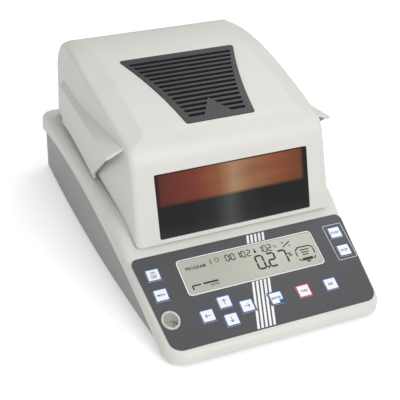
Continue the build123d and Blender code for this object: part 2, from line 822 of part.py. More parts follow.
# Side view of the hood, pulled in by an inset
def hood_side(inset):
    with BuildSketch() as side:
        with BuildLine():
            face = Line(face_low, face_head)
            brow = TangentArc(face @ 1, brow_end, tangent=face % 1)
            roof = TangentArc(brow @ 1, roof_mid, tangent=brow % 1)
            crown = TangentArc(roof @ 1, roof_rear, tangent=roof % 1)
            rear = TangentArc(crown @ 1, rear_shoulder, tangent=crown % 1)
            Polyline(
                rear @ 1,
                (hood_rear_y, rear_shoulder[1] - 8),
                (hood_rear_y, face_low[1]),
                face_low,
            )
        make_face()
        if inset:
            offset(amount=-inset, kind=Kind.INTERSECTION)
    return side.sketch


# Hood cross-section at one station, pulled in by an inset
def hood_section(y, foot, bevel, top, inset):
    with BuildSketch(Plane.XZ.offset(-y)) as section:
        with BuildLine():
            Polyline(
                (-foot + inset, 30),
                (foot - inset, 30),
                (bevel[0] - inset, bevel[1] - 0.6 * inset),
                (top[0] - inset, top[1] - 0.8 * inset),
                (-top[0] + inset, top[1] - 0.8 * inset),
                (-bevel[0] + inset, bevel[1] - 0.6 * inset),
                close=True,
            )
        make_face()
    return section.sketch


# Solid hood of the outer shape, pulled in by an inset
def hood_solid(inset):
    with BuildPart() as solid:
        for y, foot, bevel, top in hood_stations:
            add(hood_section(y, foot, bevel, top, inset))
        loft()
        with BuildSketch(side_plane):
            add(hood_side(inset))
        extrude(amount=2 * reach, mode=Mode.INTERSECT)
    return solid.part


# Everything under the lower edge of the hood, which follows the deck
def under_hood_edge(lift):
    with BuildSketch() as side:
        with BuildLine():
            foot = Line(
                (hood_front_foot[0] - 15, hood_front_foot[1] + lift - hood_gap),
                (hood_front_foot[0] + 4, hood_front_foot[1] + lift - hood_gap),
            )
            rise = ThreePointArc(
                foot @ 1,
                (shoulder[0], shoulder[1] + lift),
                (crest[0], crest[1] + lift),
            )
            deck = TangentArc(rise @ 1, (rear_y, rear_top_z + lift), tangent=rise % 1)
            Polyline(deck @ 1, (rear_y, -5), (hood_front_foot[0] - 15, -5), foot @ 0)
        make_face()
    return side.sketch


# Wing cross-section at one station
def wing_section(y, ridge, foot, inner, inset):
    with BuildSketch(Plane.XZ.offset(-y)) as section:
        with BuildLine():
            Polyline(
                (inner, ridge[1] + wing_flare - inset),
                (ridge[0] - inset, ridge[1] - inset),
                (foot[0] - inset, foot[1] - 4 * inset),
                (inner, foot[1] - 4 * inset),
                close=True,
            )
        make_face()
    return section.sketch



# Hollow wing on the left or right side, open underneath and along its slanted front
def wing_solid(inset):
    with BuildPart() as wing:
        y, ridge, foot = wing_front
        add(wing_section(y, ridge, foot, wing_root, inset))
        y, ridge, foot = wing_rear
        add(wing_section(y, ridge, foot, wing_root - 3, inset))
        loft(ruled=True)
        with BuildSketch(side_plane):
            with BuildLine():
                Polyline(
                    (-60, wing_front[1][1] - tab_thickness),
                    (wing_front[0] + 2, wing_front[1][1] - tab_thickness),
                    wing_notch,
                    (wing_notch[0], 50),
                    (-60, 50),
                    close=True,
                )
            make_face()
        extrude(amount=2 * reach, mode=Mode.SUBTRACT)
    return wing.part


# Plan of the vent grille, grown by a margin
def grille_plan(margin):
    rear_corner_x = grille_rear[1] + margin
    front_corner_x = grille_front[1] + margin
    waist_x = (rear_corner_x + front_corner_x) / 2 - grille_waist
    waist_y = (grille_rear[0] + grille_front[0]) / 2
    rear_line = grille_rear[0] + margin
    front_line = grille_front[0] - margin
    with BuildSketch() as plan:
        with BuildLine():
            ThreePointArc((rear_corner_x, rear_line), (waist_x, waist_y), (front_corner_x, front_line))
            ThreePointArc((-rear_corner_x, rear_line), (-waist_x, waist_y), (-front_corner_x, front_line))
            Line((rear_corner_x, rear_line), (-rear_corner_x, rear_line))
            Line((front_corner_x, front_line), (-front_corner_x, front_line))
        make_face()
        fillet(plan.vertices(), 2.5)
    return plan.sketch


# Slab that follows the roof between two depths under its surface
def roof_slab(high, low):
    with BuildPart() as slab:
        with BuildSketch(side_plane):
            add(hood_side(high))
            add(hood_side(low), mode=Mode.SUBTRACT)
        extrude(amount=2 * reach)
    return slab.part


# Hood shell
with BuildPart() as wing_shell:
    add(wing_solid(0))
    add(wing_solid(wing_wall), mode=Mode.SUBTRACT)

with BuildPart() as hood_shell:
    add(hood_solid(0))
    side_edges = hood_shell.edges().filter_by(lambda e: abs(e.center().X) > 50 and e.center().Z > 60)
    fillet(side_edges, hood_round)
    add(wing_shell.part)
    add(mirror(wing_shell.part, about=Plane.YZ))
    with BuildSketch(side_plane):
        add(under_hood_edge(hood_gap))
    extrude(amount=2 * reach, mode=Mode.SUBTRACT)
    add(hood_solid(hood_wall), mode=Mode.SUBTRACT)
    with BuildSketch(face_plane):
        with Locations((0, window_foot + window_height / 2)):
            RectangleRounded(2 * window_half, window_height, 1.5)
    extrude(amount=-2 * hood_wall, mode=Mode.SUBTRACT)
    with BuildSketch(Plane.XY.offset(grille_start_z)):
        add(grille_plan(fit))
    extrude(amount=80, mode=Mode.SUBTRACT)
    with BuildSketch(Plane.XY.offset(40)):
        with Locations((-hinge_x, hood_rear_y), (hinge_x, hood_rear_y)):
            Rectangle(arm_width + 4 * ear_gap, 12)
    extrude(amount=hinge_z + eye_radius + 3 - 40, mode=Mode.SUBTRACT)
finish(hood_shell.part, "hood_shell")

with BuildPart() as window_glass:
    with BuildSketch(face_plane.offset(glass_thickness - hood_wall)):
        with Locations((0, window_foot + window_height / 2)):
            RectangleRounded(2 * window_half - 2 * window_clearance, window_height - 2 * window_clearance, 1.3)
    extrude(amount=-glass_thickness)
finish(window_glass.part, "window_glass")

with BuildPart() as window_frame:
    with BuildSketch(face_plane.offset(-hood_wall)):
        with Locations((0, window_foot + window_height / 2)):
            Rectangle(2 * window_half + 10, window_height + 5)
            Rectangle(2 * window_half - 10, window_height - 9, mode=Mode.SUBTRACT)
    extrude(amount=-window_frame_thickness)
finish(window_frame.part, "window_frame")

# Grille: a plate in the roof opening with a flange under the edge of the opening
with BuildPart() as grille_flange_ring:
    with BuildSketch(Plane.XY.offset(grille_start_z)):
        add(grille_plan(grille_flange))
    extrude(amount=80)
    add(roof_slab(hood_wall, hood_wall + grille_flange_thickness), mode=Mode.INTERSECT)

with BuildPart() as vent_grille:
    with BuildSketch(Plane.XY.offset(grille_start_z)):
        add(grille_plan(0))
    extrude(amount=80)
    add(roof_slab(-grille_proud, hood_wall + grille_flange_thickness), mode=Mode.INTERSECT)
    add(grille_flange_ring.part)
    with BuildSketch(Plane.XY.offset(grille_start_z)):
        with Locations(*[(0, grille_front[0] + louvre_margin + louvre_pitch * (i + 0.5)) for i in range(louvre_count)]):
            Rectangle(2 * grille_rear[1], louvre_slot)
        add(grille_plan(-louvre_margin), mode=Mode.INTERSECT)
        with BuildLine():
            Polyline(*badge_corners, close=True)
        make_face(mode=Mode.SUBTRACT)
    extrude(amount=80, mode=Mode.SUBTRACT)
finish(vent_grille.part, "vent_grille")

# Inner frame of the hood, with the guard glass below it and the heater above
with BuildPart() as hood_frame:
    with BuildSketch(Plane.XY.offset(frame_z)):
        with Locations((0, (frame_front_y + hood_rear_y) / 2)):
            Rectangle(2 * reach, hood_rear_y - frame_front_y)
        with Locations((0, chamber_y)):
            Rectangle(guard_width, guard_depth, mode=Mode.SUBTRACT)
    extrude(amount=frame_thickness)
    add(hood_solid(hood_wall), mode=Mode.INTERSECT)
    with Locations(*[(x, chamber_y + y, frame_z) for x, y in frame_screw_places]):
        Cylinder(frame_screw_radius, frame_thickness, align=upright, mode=Mode.SUBTRACT)
finish(hood_frame.part, "hood_frame")

with BuildPart() as guard_frame:
    with BuildSketch(Plane.XY.offset(guard_z - guard_lip)):
        with Locations((0, chamber_y)):
            RectangleRounded(guard_width + 12, guard_depth + 12, 4)
    extrude(amount=frame_z - guard_z + guard_lip)
    with BuildSketch(Plane.XY.offset(guard_z)):
        with Locations((0, chamber_y)):
            Rectangle(guard_width + 2 * fit, guard_depth + 2 * fit)
    extrude(amount=20, mode=Mode.SUBTRACT)
    with BuildSketch(Plane.XY.offset(guard_z - 10)):
        with Locations((0, chamber_y)):
            Rectangle(guard_width - 8, guard_depth - 8)
    extrude(amount=20, mode=Mode.SUBTRACT)
    with Locations(*[(x, chamber_y + y, guard_z - guard_lip) for x, y in frame_screw_places]):
        Cylinder(frame_screw_radius + screw_clearance, 10, align=upright, mode=Mode.SUBTRACT)
finish(guard_frame.part, "guard_frame")

with BuildPart() as guard_glass:
    with Locations((0, chamber_y, guard_z)):
        Box(guard_width, guard_depth, guard_glass_thickness, align=upright)
finish(guard_glass.part, "guard_glass")

with BuildPart() as reflector:
    with BuildSketch(Plane.XY.offset(frame_z + frame_thickness)):
        with Locations((0, chamber_y)):
            RectangleRounded(reflector_width, reflector_depth, 10)
    extrude(amount=reflector_top_z - frame_z - frame_thickness)
    with BuildSketch(Plane.XY.offset(frame_z + frame_thickness)):
        with Locations((0, chamber_y)):
            RectangleRounded(reflector_width + 10, reflector_depth + 10, 12)
    extrude(amount=sheet)
    with BuildSketch(Plane.XY.offset(frame_z)):
        with Locations((0, chamber_y)):
            RectangleRounded(reflector_width - 2 * sheet, reflector_depth - 2 * sheet, 9)
    extrude(amount=reflector_top_z - sheet - frame_z, mode=Mode.SUBTRACT)
    with BuildSketch(Plane.XY.offset(reflector_top_z - 5)):
        with Locations((0, chamber_y)):
            with GridLocations(0, 16, 1, 6):
                SlotOverall(70, 4)
            Circle(probe_radius + 0.1)
    extrude(amount=10, mode=Mode.SUBTRACT)
finish(reflector.part, "reflector")

holder_x = reflector_width / 2 - sheet - holder_width / 2
with BuildPart() as lamp_holders:
    with Locations((-holder_x, chamber_y, lamp_z), (holder_x, chamber_y, lamp_z)):
        Box(holder_width, lamp_spacing + 20, 16)
    with Locations((0, chamber_y - lamp_spacing / 2, lamp_z), (0, chamber_y + lamp_spacing / 2, lamp_z)):
        Cylinder(lamp_radius, lamp_length, rotation=(0, 90, 0), mode=Mode.SUBTRACT)
finish(lamp_holders.part, "lamp_holders")

for name, side in (("heater_tube_front", -1), ("heater_tube_rear", 1)):
    with BuildPart() as heater_tube:
        with Locations((0, chamber_y + side * lamp_spacing / 2, lamp_z)):
            Cylinder(lamp_radius, lamp_length, rotation=(0, 90, 0))
    finish(heater_tube.part, name)

with BuildPart() as temperature_probe:
    with Locations((0, chamber_y, probe_foot_z)):
        Cylinder(probe_radius, reflector_top_z + 2 - probe_foot_z, align=upright)
    with Locations((0, chamber_y, reflector_top_z)):
        Cylinder(4, 3, align=upright)
finish(temperature_probe.part, "temperature_probe")

# Hinge: arms under the hood frame, brackets on the rear deck, pins through both
for side, place in (("left", -hinge_x), ("right", hinge_x)):
    with BuildPart() as hood_arm:
        with BuildSketch(Plane.YZ.offset(place - arm_width / 2)):
            with BuildLine():
                Polyline(
                    (hinge_y, hinge_z - arm_drop),
                    (arm_root_y, hinge_z - arm_drop),
                    (arm_root_y, frame_z),
                    (arm_root_y + arm_root, frame_z),
                    (arm_root_y + arm_root, hinge_z + arm_drop),
                    (hinge_y, hinge_z + arm_drop),
                    close=True,
                )
            make_face()
            with Locations((hinge_y, hinge_z)):
                Circle(eye_radius)
                Circle(pin_radius + pin_clearance, mode=Mode.SUBTRACT)
        extrude(amount=arm_width)
    finish(hood_arm.part, f"hood_arm_{side}")
    with BuildPart() as hinge_bracket:
        with Locations((place, hinge_y, bracket_seat_z)):
            Box(bracket_base[0] - 2 * fit, bracket_base[1] - 2 * fit, 2.5, align=upright)
        for ear in (-1, 1):
            inner = arm_width / 2 + ear_gap
            with BuildSketch(Plane.YZ.offset(place + ear * (inner + ear_width / 2) - ear_width / 2)):
                with Locations((hinge_y, hinge_z)):
                    Circle(eye_radius)
                with Locations((hinge_y, (hinge_z + bracket_seat_z + 1) / 2)):
                    Rectangle(2 * eye_radius, hinge_z - bracket_seat_z - 1)
                with Locations((hinge_y, hinge_z)):
                    Circle(pin_radius, mode=Mode.SUBTRACT)
            extrude(amount=ear_width)
    finish(hinge_bracket.part, f"hinge_bracket_{side}")

with BuildPart() as hinge_pins:
    with Locations((-hinge_x, hinge_y, hinge_z), (hinge_x, hinge_y, hinge_z)):
        Cylinder(pin_radius, arm_width + 2 * ear_gap + 2 * ear_width, rotation=(0, 90, 0))
finish(hinge_pins.part, "hinge_pins")

with BuildPart() as hood_buffers:
    with Locations((-buffer_x, crest[0], crest[1] - buffer_seat), (buffer_x, crest[0], crest[1] - buffer_seat)):
        Cylinder(buffer_radius, 10, align=upright)
    with BuildSketch(side_plane):
        add(under_hood_edge(hood_gap))
    extrude(amount=2 * reach, mode=Mode.INTERSECT)
finish(hood_buffers.part, "hood_buffers")

with BuildPart() as case_screws:
    with Locations(*[(x, y, floor_gap + fit) for x, y in case_screw_places]):
        Cylinder(screw_head_radius, screw_head, align=upright)
        Cylinder(screw_radius, case_screw_length, align=upright)
        Cylinder(1.6, 1.6, align=upright, mode=Mode.SUBTRACT)
finish(case_screws.part, "case_screws")

with BuildPart() as fuses:
    with Locations(*[(x, fuse_y, inlet_z - fuse_drop - fuse_slack) for x in fuse_places]):
        Cylinder(fuse_radius, fuse_length, rotation=(90, 0, 0))
finish(fuses.part, "fuses")

# Screws that hold the guard frame up against the hood frame
with BuildPart() as frame_screws:
    with Locations(*[(x, chamber_y + y, guard_z - guard_lip) for x, y in frame_screw_places]):
        Cylinder(frame_screw_radius, frame_z + frame_thickness - guard_z + guard_lip, align=upright)
        Cylinder(2.4, 1.0, align=(Align.CENTER, Align.CENTER, Align.MAX))
finish(frame_screws.part, "frame_screws")
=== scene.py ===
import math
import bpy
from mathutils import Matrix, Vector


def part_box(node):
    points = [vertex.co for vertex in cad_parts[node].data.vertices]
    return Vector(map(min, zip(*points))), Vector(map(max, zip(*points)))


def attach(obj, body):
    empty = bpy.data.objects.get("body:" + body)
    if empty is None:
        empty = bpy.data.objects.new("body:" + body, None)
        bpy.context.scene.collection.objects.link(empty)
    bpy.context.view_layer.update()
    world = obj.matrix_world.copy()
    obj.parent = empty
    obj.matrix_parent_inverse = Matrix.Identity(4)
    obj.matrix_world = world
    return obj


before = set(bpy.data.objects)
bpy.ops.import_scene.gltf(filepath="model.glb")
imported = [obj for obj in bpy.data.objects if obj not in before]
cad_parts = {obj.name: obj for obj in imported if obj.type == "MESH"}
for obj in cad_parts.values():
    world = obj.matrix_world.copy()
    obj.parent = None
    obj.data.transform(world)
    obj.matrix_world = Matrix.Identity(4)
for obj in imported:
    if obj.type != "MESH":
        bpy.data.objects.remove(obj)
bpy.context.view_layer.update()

# %% [markdown]
# A bench moisture analyzer dries a small sample under a halogen hood and weighs it as it dries.
# The solids come from the CAD frame. This file gives them their finishes, and adds the small
# things that the solids don't hold: the print on the keys, the display's figures, the panel's
# stripes and lines, and the ring and bubble of the spirit level. Everything is in metres, in the
# frame of the CAD.

for name in ("Cube", "Light", "Camera"):
    if name in bpy.data.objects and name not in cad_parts:
        bpy.data.objects.remove(bpy.data.objects[name])
scene = bpy.context.scene
scene.view_settings.view_transform = "Standard"
MM = 0.001

# %% [markdown]
# The camera stands in front of the left corner and looks down on the panel. Its place was
# worked out from the corners of the panel and the hood, so that they fall where the photograph
# has them. It has a long lens, which keeps the sides of the base nearly parallel.

# %% Camera
AZIMUTH = math.radians(-25.21)
ELEVATION = math.radians(32.2)
ROLL = math.radians(2.19)
AIM = Vector((122.87, 253.77, -144.33)) * MM
FOCAL_PIXELS = 963.33
FRAME_PIXELS = 400
SENSOR = 36.0
DISTANCE = 1.2

back = Vector((
    math.sin(AZIMUTH) * math.cos(ELEVATION),
    -math.cos(AZIMUTH) * math.cos(ELEVATION),
    math.sin(ELEVATION),
))
level_right = Vector((0, 0, 1)).cross(back).normalized()
level_up = back.cross(level_right)
camera_right = math.cos(ROLL) * level_right + math.sin(ROLL) * level_up
camera_up = -math.sin(ROLL) * level_right + math.cos(ROLL) * level_up
bpy.ops.object.camera_add()
camera = bpy.context.object
camera.name = "photo_camera"
camera.data.lens = FOCAL_PIXELS / FRAME_PIXELS * SENSOR
camera.data.sensor_width = SENSOR
camera.data.clip_start = 0.01
turn = Matrix((camera_right, camera_up, back)).transposed().to_4x4()
camera.matrix_world = Matrix.Translation(AIM + DISTANCE * back) @ turn
scene.camera = camera
print("camera at", [round(value, 3) for value in camera.location])

# %% [markdown]
# Moulded housings have a fine spark-eroded grain, and they are never one flat colour: they
# yellow a little and pick up dust. A small noise drives a bump for the grain, and a large one
# shifts the colour by a few percent. All patterns read Object coordinates, so they keep their
# size in metres on every piece.


# %% Colours and a bare material
def srgb(red, green, blue):
    """Colour from the 0 to 255 numbers of a paint card."""
    def linear(value):
        value /= 255
        return value / 12.92 if value <= 0.04045 else ((value + 0.055) / 1.055) ** 2.4
    return (linear(red), linear(green), linear(blue), 1.0)


def shade(colour, factor):
    """The colour, made darker or lighter."""
    return (colour[0] * factor, colour[1] * factor, colour[2] * factor, 1.0)


def new_finish(name):
    """A bare material with its nodes, its links and its shader."""
    finish = bpy.data.materials.new(name)
    finish.use_nodes = True
    nodes = finish.node_tree.nodes
    links = finish.node_tree.links
    return finish, nodes, links, nodes["Principled BSDF"]


print("mid grey is", round(srgb(128, 128, 128)[0], 3), "in light")

# %% [markdown]
# One function makes every moulded, painted or cast surface. Its arguments set how coarse the
# grain is, how deep it looks and how far the colour drifts.

# %% Grained finish
GRAIN_DEPTH = 0.0002
ROUGHNESS_SPREAD = 0.06
SLOW_DETAIL = 4.0
FINE_DETAIL = 2.0


def grained(name, colour, roughness, grain=0.6, bump=0.12, drift=0.04, metallic=0.0, blotch=40.0):
    """A finish with a fine grain, grain mm across, and a slow drift of colour."""
    finish, nodes, links, surface = new_finish(name)
    place = nodes.new("ShaderNodeTexCoord")
    slow = nodes.new("ShaderNodeTexNoise")
    slow.inputs["Scale"].default_value = 1000 / blotch
    slow.inputs["Detail"].default_value = SLOW_DETAIL
    ramp = nodes.new("ShaderNodeValToRGB")
    ramp.color_ramp.elements[0].position = 0.3
    ramp.color_ramp.elements[0].color = shade(colour, 1 - drift)
    ramp.color_ramp.elements[1].position = 0.7
    ramp.color_ramp.elements[1].color = shade(colour, 1 + drift)
    fine = nodes.new("ShaderNodeTexNoise")
    fine.inputs["Scale"].default_value = 1000 / grain
    fine.inputs["Detail"].default_value = FINE_DETAIL
    relief = nodes.new("ShaderNodeBump")
    relief.inputs["Strength"].default_value = bump
    relief.inputs["Distance"].default_value = GRAIN_DEPTH
    rough = nodes.new("ShaderNodeMapRange")
    rough.inputs["To Min"].default_value = max(0.02, roughness - ROUGHNESS_SPREAD)
    rough.inputs["To Max"].default_value = min(1.0, roughness + ROUGHNESS_SPREAD)
    links.new(place.outputs["Object"], slow.inputs["Vector"])
    links.new(place.outputs["Object"], fine.inputs["Vector"])
    links.new(slow.outputs["Fac"], ramp.inputs["Fac"])
    links.new(ramp.outputs["Color"], surface.inputs["Base Color"])
    links.new(slow.outputs["Fac"], rough.inputs["Value"])
    links.new(rough.outputs["Result"], surface.inputs["Roughness"])
    links.new(fine.outputs["Fac"], relief.inputs["Height"])
    links.new(relief.outputs["Normal"], surface.inputs["Normal"])
    surface.inputs["Metallic"].default_value = metallic
    return finish


print("grain is", GRAIN_DEPTH, "m deep")

# %% [markdown]
# Metal and glass start from the same grained finish. Brushed metal stretches the fine noise into
# lines along X. Glass lets light through and keeps only a faint smear.


# %% Metal and glass
def brushed(name, colour, roughness, lines=(60.0, 2500.0, 2500.0)):
    """Metal with fine lines along X, left by a grinding belt."""
    finish = grained(name, colour, roughness, drift=0.06, metallic=1.0)
    nodes = finish.node_tree.nodes
    links = finish.node_tree.links
    place = next(node for node in nodes if node.type == "TEX_COORD")
    noises = [node for node in nodes if node.type == "TEX_NOISE"]
    fine = next(node for node in noises if node.inputs["Detail"].default_value == FINE_DETAIL)
    stretch = nodes.new("ShaderNodeMapping")
    stretch.inputs["Scale"].default_value = lines
    fine.inputs["Scale"].default_value = 1.0
    links.new(place.outputs["Object"], stretch.inputs["Vector"])
    links.new(stretch.outputs["Vector"], fine.inputs["Vector"])
    return finish


def clear(name, colour, roughness, transmission, ior=1.5):
    """Glass: a faint smear of roughness over a clear body."""
    finish = grained(name, colour, roughness, bump=0.01, drift=0.02)
    surface = finish.node_tree.nodes["Principled BSDF"]
    surface.inputs["Transmission Weight"].default_value = transmission
    surface.inputs["IOR"].default_value = ior
    return finish


print("metal and glass can be made")

# %% [markdown]
# These are the finishes of this object. Their colours were set beside the photograph, under the
# studio lamps at the end of this file.

# %% Finishes of this object
housing = grained("housing_grey", srgb(218, 217, 211), 0.42, drift=0.02)
# The lower case has the housing's grey darkened: painted shade for the shade under the upper case's rim.
lower_housing_painted_shade = grained("housing_grey_painted_shade", srgb(162, 160, 158), 0.48, drift=0.02)
panel_film = grained("panel_film", srgb(76, 76, 80), 0.38, grain=0.3, bump=0.08, drift=0.04)
key_white = grained("key_white", srgb(242, 243, 246), 0.35, grain=0.3, bump=0.05, drift=0.02)
lens_grey = grained("display_lens", srgb(186, 190, 176), 0.12, bump=0.02, drift=0.04, blotch=60)
cell_grey = grained("display_cell", srgb(150, 156, 140), 0.3)
grille_black = grained("grille_black", srgb(38, 39, 42), 0.42, grain=0.8, bump=0.2)
matt_black = grained("matt_black", srgb(22, 22, 23), 0.5, bump=0.2)
rubber_black = grained("rubber_black", srgb(26, 26, 26), 0.75, bump=0.3)
board_green = grained("board_green", srgb(24, 92, 58), 0.4, grain=1.5, bump=0.3, drift=0.2, blotch=8)
steel = brushed("steel_brushed", srgb(188, 188, 186), 0.32)
aluminium = brushed("aluminium_bright", srgb(214, 214, 216), 0.28)
cup_metal = grained("level_cup_metal", srgb(212, 212, 210), 0.28, drift=0.03, metallic=0.35, blotch=6)
buffer_grey = grained("buffer_grey", srgb(186, 186, 182), 0.7, bump=0.3)
vial_glass = clear("vial_glass", srgb(236, 232, 214), 0.05, 0.35)
guard_clear = clear("guard_glass_clear", srgb(240, 244, 243), 0.03, 0.95)
quartz = grained("lamp_quartz_red", srgb(190, 92, 52), 0.12, drift=0.2, blotch=12)
print("finishes", len(bpy.data.materials))

# %% [markdown]
# Each CAD node gets the finish of the real piece, but the lower case gets a darker grey of
# painted shade. Keys are white moulded caps, and the hood's inside is bright steel and
# aluminium. The window has a finish of its own, in the next step.

# %% Finishes on the CAD nodes
FINISHES = {
    housing: ["upper_case", "hood_shell"],
    lower_housing_painted_shade: ["lower_case"],
    panel_film: ["control_panel"],
    lens_grey: ["display_window"],
    cell_grey: ["display_module"],
    grille_black: ["vent_grille"],
    matt_black: ["window_frame", "lamp_holders", "mains_inlet", "fuse_drawer", "rear_foot_left",
                 "rear_foot_right", "foot_nut_left", "foot_nut_right"],
    rubber_black: ["front_feet", "keypad_mat"],
    board_green: ["control_board", "main_board", "power_supply"],
    steel: ["hood_frame", "guard_frame", "chamber_tray", "draft_shield", "pan_support", "pan_handler",
            "pan_carrier", "temperature_probe", "serial_port", "hood_arm_left", "hood_arm_right",
            "hinge_bracket_left", "hinge_bracket_right", "hinge_pins", "case_screws", "frame_screws"],
    cup_metal: ["level_housing"],
    buffer_grey: ["hood_buffers"],
    aluminium: ["reflector", "sample_pan", "load_cell", "chassis_plate"],
    vial_glass: ["level_vial", "fuses"],
    guard_clear: ["guard_glass"],
    quartz: ["heater_tube_front", "heater_tube_rear"],
    key_white: [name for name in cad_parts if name.startswith("key_")],
}
dressed = set()
for finish, names in FINISHES.items():
    for name in names:
        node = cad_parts[name]
        node.data.materials.clear()
        node.data.materials.append(finish)
        dressed.add(name)
print("nodes without a finish", sorted(set(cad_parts) - dressed))

# %% [markdown]
# The window is dark toughened glass. Its upper half has a painted glow of the reflector and the
# lamps behind it, with a painted highlight in the middle, and its lower half is masked black,
# with a painted grey sheen of reflection. Glow and sheen are painted into the glass's colour,
# made by ramps across and up the pane.

# %% Ramps for the window
window_low, window_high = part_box("window_glass")
glow_finish, nodes, links, surface = new_finish("window_glow_glass")
place = nodes.new("ShaderNodeTexCoord")
split = nodes.new("ShaderNodeSeparateXYZ")
links.new(place.outputs["Object"], split.inputs["Vector"])


def ramp_between(low, high, stops, source):
    """Colour ramp over a stretch of one coordinate."""
    span = nodes.new("ShaderNodeMapRange")
    span.inputs["From Min"].default_value = low
    span.inputs["From Max"].default_value = high
    ramp = nodes.new("ShaderNodeValToRGB")
    ramp.color_ramp.elements[0].position = stops[0][0]
    ramp.color_ramp.elements[0].color = stops[0][1]
    ramp.color_ramp.elements[1].position = stops[-1][0]
    ramp.color_ramp.elements[1].color = stops[-1][1]
    for position, colour in stops[1:-1]:
        ramp.color_ramp.elements.new(position).color = colour
    links.new(source, span.inputs["Value"])
    links.new(span.outputs["Result"], ramp.inputs["Fac"])
    return ramp.outputs["Color"]


print("window from", [round(v, 4) for v in window_low], "to", [round(v, 4) for v in window_high])

# %% [markdown]
# A stop is a place on the pane, from 0 at one edge to 1 at the other, and its colour. One mask
# across the pane and one up the pane say where the glow shows, and streaks of noise make it
# uneven.

# %% Window colours
# Painted glow: warm colours of the lit reflector and lamps behind the glass, with a painted highlight near
# 0.5.
PAINTED_GLOW_STOPS = [
    (0.02, srgb(86, 36, 28)), (0.25, srgb(116, 52, 36)), (0.4, srgb(138, 84, 52)),
    (0.5, srgb(168, 132, 100)), (0.62, srgb(146, 100, 70)), (0.8, srgb(136, 74, 44)),
    (0.955, srgb(112, 62, 38)),
]
# Painted sheen: a soft grey reflection painted across the black lower half, brightest near 0.47.
PAINTED_SHEEN_STOPS = [
    (0.2, srgb(16, 15, 15)), (0.36, srgb(30, 31, 30)), (0.47, srgb(66, 69, 67)), (0.56, srgb(34, 34, 33)),
    (0.7, srgb(16, 15, 15)),
]
WHITE = (1, 1, 1, 1)
NONE = (0, 0, 0, 1)
along = ramp_between(window_low[0], window_high[0], PAINTED_GLOW_STOPS, split.outputs["X"])
side_mask = ramp_between(
    window_low[0], window_high[0],
    [(0.006, NONE), (0.03, WHITE), (0.955, WHITE), (0.975, NONE)], split.outputs["X"],
)
height_mask = ramp_between(
    window_low[2], window_high[2], [(0.48, NONE), (0.54, WHITE), (0.975, WHITE), (0.99, NONE)],
    split.outputs["Z"],
)
streak_scale = nodes.new("ShaderNodeMapping")
streak_scale.inputs["Scale"].default_value = (14.0, 60.0, 160.0)
streaks = nodes.new("ShaderNodeTexNoise")
streaks.inputs["Scale"].default_value = 1.0
streaks.inputs["Detail"].default_value = 5.0
links.new(place.outputs["Object"], streak_scale.inputs["Vector"])
links.new(streak_scale.outputs["Vector"], streaks.inputs["Vector"])
streak_ramp = nodes.new("ShaderNodeValToRGB")
streak_ramp.color_ramp.elements[0].position = 0.3
streak_ramp.color_ramp.elements[0].color = (0.86, 0.83, 0.8, 1)
streak_ramp.color_ramp.elements[1].position = 0.7
streak_ramp.color_ramp.elements[1].color = (1.06, 1.05, 1.04, 1)
links.new(streaks.outputs["Fac"], streak_ramp.inputs["Fac"])
print("glow stops", len(PAINTED_GLOW_STOPS), "sheen stops", len(PAINTED_SHEEN_STOPS))

# %% [markdown]
# The two masks are multiplied, and their product chooses between the sheen and the streaked
# glow at each place.


# %% Window finish
def multiplied(first, second):
    """Product of two colours."""
    mix = nodes.new("ShaderNodeMix")
    mix.data_type = "RGBA"
    mix.blend_type = "MULTIPLY"
    mix.inputs["Factor"].default_value = 1.0
    links.new(first, mix.inputs["A"])
    links.new(second, mix.inputs["B"])
    return mix.outputs["Result"]


mask = multiplied(side_mask, height_mask)
pane = nodes.new("ShaderNodeMix")
pane.data_type = "RGBA"
# The lower half of the pane is black with the painted grey sheen of reflection.
sheen = ramp_between(window_low[0], window_high[0], PAINTED_SHEEN_STOPS, split.outputs["X"])
links.new(sheen, pane.inputs["A"])
links.new(mask, pane.inputs["Factor"])
links.new(multiplied(along, streak_ramp.outputs["Color"]), pane.inputs["B"])
links.new(pane.outputs["Result"], surface.inputs["Base Color"])
surface.inputs["Roughness"].default_value = 0.08
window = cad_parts["window_glass"]
window.data.materials.clear()
window.data.materials.append(glow_finish)
print("window dressed", window.name)

# %% [markdown]
# Everything printed on the front lies on the sloped panel, so it is drawn flat on the ground
# first, across in X and up the panel in Y, and then tilted onto the panel. A print is a film of
# ink a few hundredths of a millimetre thick.

# %% Place of the panel, and inks
PANEL_CENTRE = Vector((0, -123.7, 30.7)) * MM
PANEL_SLOPE = math.radians(23.43)
on_panel = Matrix.Translation(PANEL_CENTRE) @ Matrix.Rotation(PANEL_SLOPE, 4, "X")
INK = 0.05


def ink(name, colour, roughness=0.45):
    return grained(name, colour, roughness, grain=0.2, bump=0.03, drift=0.03, blotch=15)


ink_white = ink("ink_white", srgb(244, 244, 246))
ink_blue = ink("ink_blue", srgb(30, 92, 150))
ink_red = ink("ink_red", srgb(196, 44, 62))
ink_dark = ink("ink_dark", srgb(52, 58, 72))
ink_wine = ink("ink_wine", srgb(150, 54, 66))
ink_display = ink("ink_display", srgb(24, 26, 23))
print("panel slope", round(math.degrees(PANEL_SLOPE), 2))

# %% [markdown]
# A print starts as flat faces: planes laid side by side, or the rim that is left when the middle
# of an inset face is deleted. Extruding them by the thickness of the ink closes them.


# %% Flat prints
def raise_ink():
    """Turns the active piece's flat faces into a film of ink."""
    bpy.ops.object.mode_set(mode="EDIT")
    bpy.ops.mesh.select_all(action="SELECT")
    bpy.ops.mesh.extrude_region_move(TRANSFORM_OT_translate={"value": (0, 0, INK * MM)})
    bpy.ops.mesh.select_all(action="SELECT")
    bpy.ops.mesh.normals_make_consistent(inside=False)
    bpy.ops.object.mode_set(mode="OBJECT")


